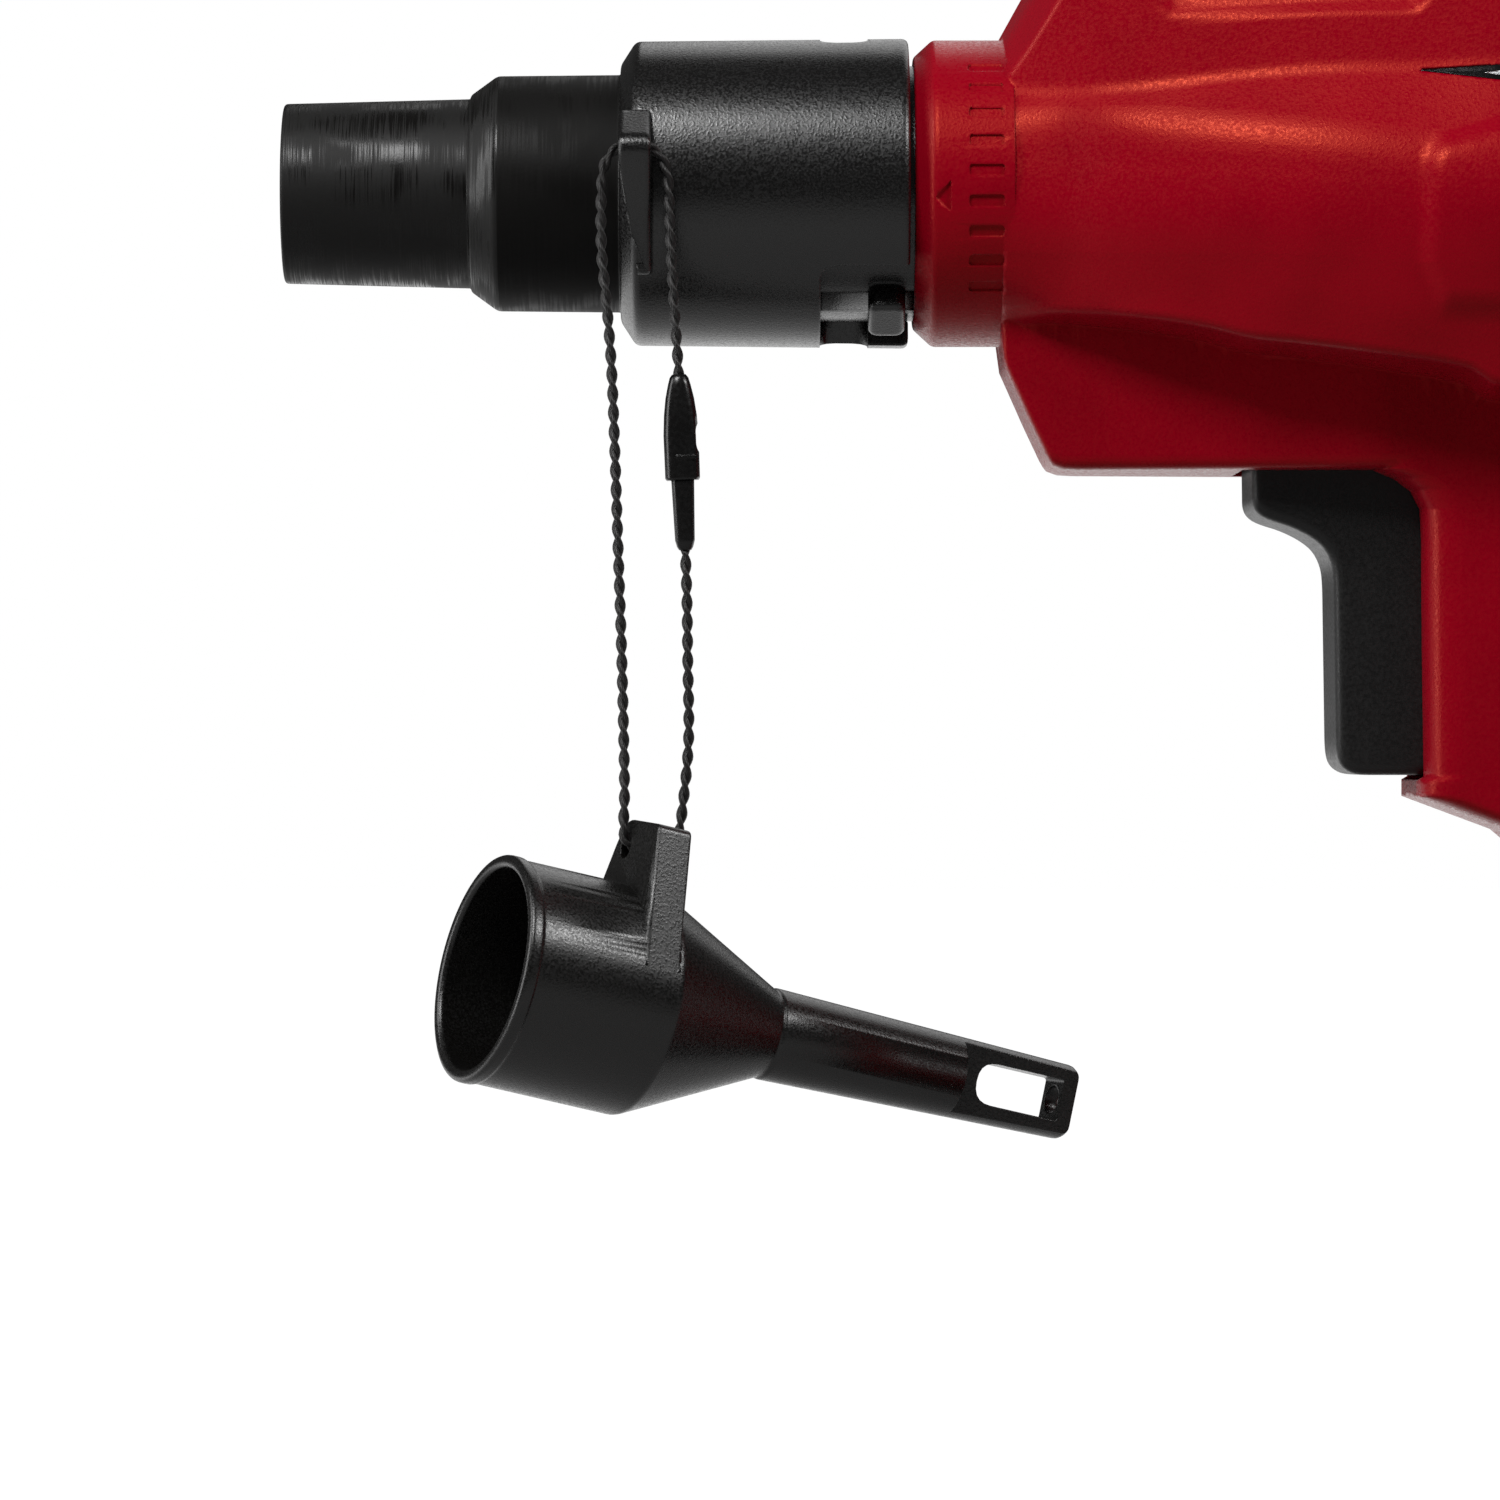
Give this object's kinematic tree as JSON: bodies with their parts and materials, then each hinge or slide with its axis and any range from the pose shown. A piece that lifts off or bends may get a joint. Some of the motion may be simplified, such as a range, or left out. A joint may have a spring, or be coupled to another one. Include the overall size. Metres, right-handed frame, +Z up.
{
  "type": "portable tire inflator",
  "caption": "Pistol-shaped cordless tire inflator with a high-volume outlet, a stepped nozzle adapter, a tethered valve adapter, a trigger, a display and a slide-off battery.",
  "frame": {"origin": "on the flat base of the battery, in the tool's mid-plane, 50 mm behind the front of the battery", "axes": "+Z up, -X towards the air outlet, the tool's mid-plane is Y = 0, -Y is the side with the tether"},
  "size_m": [0.2606, 0.0811, 0.248],
  "materials": {
    "red_abs": "fine spark-eroded grain",
    "black_nylon": "sandblasted, satin",
    "black_satin": "satin",
    "black_acetal": "smooth",
    "twisted_cord": "twisted two-ply polyester",
    "nitrile_rubber": "smooth",
    "grip_rubber": "fine grain",
    "button_rubber": "smooth",
    "dark_plastic": "as moulded",
    "gloss_black": "polished",
    "pack_black": "fine grain",
    "white_acetal": "as moulded",
    "grey_nylon": "as moulded",
    "display_grey": "smooth",
    "board_green": "solder mask",
    "cell_sleeve": "shrink sleeve",
    "gasket_fibre": "pressed fibre",
    "zinc_steel": "zinc plated",
    "spring_steel": "drawn wire",
    "bearing_steel": "ground",
    "ferrite": "sintered",
    "copper": "enamelled winding",
    "brass": "turned",
    "cast_aluminium": "die cast"
  },
  "bodies": {
    "inflator_body": {"housing_left": "red_abs", "housing_right": "red_abs", "housing_screws": "zinc_steel", "outlet_spigot": "black_nylon", "spigot_seal": "nitrile_rubber", "trigger_spring": "spring_steel", "switch_module": "dark_plastic", "badge_left": "gloss_black", "badge_right": "gloss_black", "grip_pad": "grip_rubber", "fan_duct": "dark_plastic", "motor_mount": "nitrile_rubber", "motor_can": "zinc_steel", "motor_magnets": "ferrite", "motor_bearings": "bearing_steel", "crankcase": "cast_aluminium", "crank_axle": "bearing_steel", "cylinder": "cast_aluminium", "head_gasket": "gasket_fibre", "cylinder_head": "cast_aluminium", "hose_port": "brass", "intake_spigot": "black_nylon", "intake_grille": "dark_plastic", "circuit_board": "board_green", "lcd_display": "display_grey", "display_lens": "gloss_black", "terminal_block": "dark_plastic", "terminal_blades": "copper"},
    "trigger": {"trigger": "black_satin"},
    "rotor": {"motor_armature": "copper", "fan_impeller": "grey_nylon", "pinion": "brass"},
    "crank": {"crank_gear": "white_acetal"},
    "piston": {"piston": "cast_aluminium", "piston_seal": "nitrile_rubber"},
    "adapter": {"nozzle_adapter": "black_nylon"},
    "tether": {"tether_cord": "twisted_cord", "clasp_socket": "black_acetal", "clasp_plug": "black_acetal"},
    "valve": {"valve_adapter": "black_nylon"},
    "minus_key": {"minus_button": "button_rubber"},
    "mode_key": {"mode_button": "button_rubber"},
    "plus_key": {"plus_button": "button_rubber"},
    "battery": {"battery_case_lower": "pack_black", "battery_case_upper": "pack_black", "battery_cells": "cell_sleeve", "cell_holders": "white_acetal", "battery_board": "board_green", "battery_screws": "zinc_steel", "latch_spring": "spring_steel"},
    "release": {"release_button": "red_abs"}
  },
  "joints": [
    {"name": "trigger_pull", "type": "slide", "parent": "inflator_body", "child": "trigger", "axis": [1, 0, 0], "range_m": [0, 0.006], "stiffness_N_per_m": 600, "springref_m": -0.004, "deforming": ["trigger_spring"]},
    {"name": "rotor_spin", "type": "hinge", "parent": "inflator_body", "child": "rotor", "pos_m": [-0.04, 0, 0.203], "axis": [1, 0, 0], "continuous": true},
    {"name": "crank_spin", "type": "hinge", "parent": "inflator_body", "child": "crank", "pos_m": [-0.005, 0, 0.2209], "axis": [1, 0, 0], "continuous": true},
    {"name": "piston_stroke", "type": "slide", "parent": "inflator_body", "child": "piston", "axis": [0, 0, 1], "range_m": [0, 0.012]},
    {"name": "adapter_pull", "type": "slide", "parent": "inflator_body", "child": "adapter", "axis": [-1, 0, 0], "range_m": [0, 0.03]},
    {"name": "tether_swing", "type": "hinge", "parent": "adapter", "child": "tether", "pos_m": [-0.1616, -0.0209, 0.2072], "axis": [1, 0, 0], "range_deg": [-60, 0]},
    {"name": "valve_swing", "type": "hinge", "parent": "tether", "child": "valve", "pos_m": [-0.15992, -0.02101, 0.12104], "axis": [0.8908, 0.3966, -0.2217], "range_deg": [-25, 25]},
    {"name": "minus_press", "type": "slide", "parent": "inflator_body", "child": "minus_key", "axis": [0, 0, -1], "range_m": [0, 0.0008], "stiffness_N_per_m": 1500, "springref_m": -0.0004},
    {"name": "mode_press", "type": "slide", "parent": "inflator_body", "child": "mode_key", "axis": [0, 0, -1], "range_m": [0, 0.0008], "stiffness_N_per_m": 1500, "springref_m": -0.0004},
    {"name": "plus_press", "type": "slide", "parent": "inflator_body", "child": "plus_key", "axis": [0, 0, -1], "range_m": [0, 0.0008], "stiffness_N_per_m": 1500, "springref_m": -0.0004},
    {"name": "battery_slide", "type": "slide", "parent": "inflator_body", "child": "battery", "axis": [-1, 0, 0], "range_m": [0, 0.085]},
    {"name": "release_press", "type": "slide", "parent": "battery", "child": "release", "axis": [0, 0, -1], "range_m": [0, 0.003], "stiffness_N_per_m": 800, "springref_m": -0.002, "deforming": ["latch_spring"]}
  ],
  "couplings": [
    {"joint": "crank_spin", "follows": "rotor_spin", "ratio": -0.2439}
  ]
}
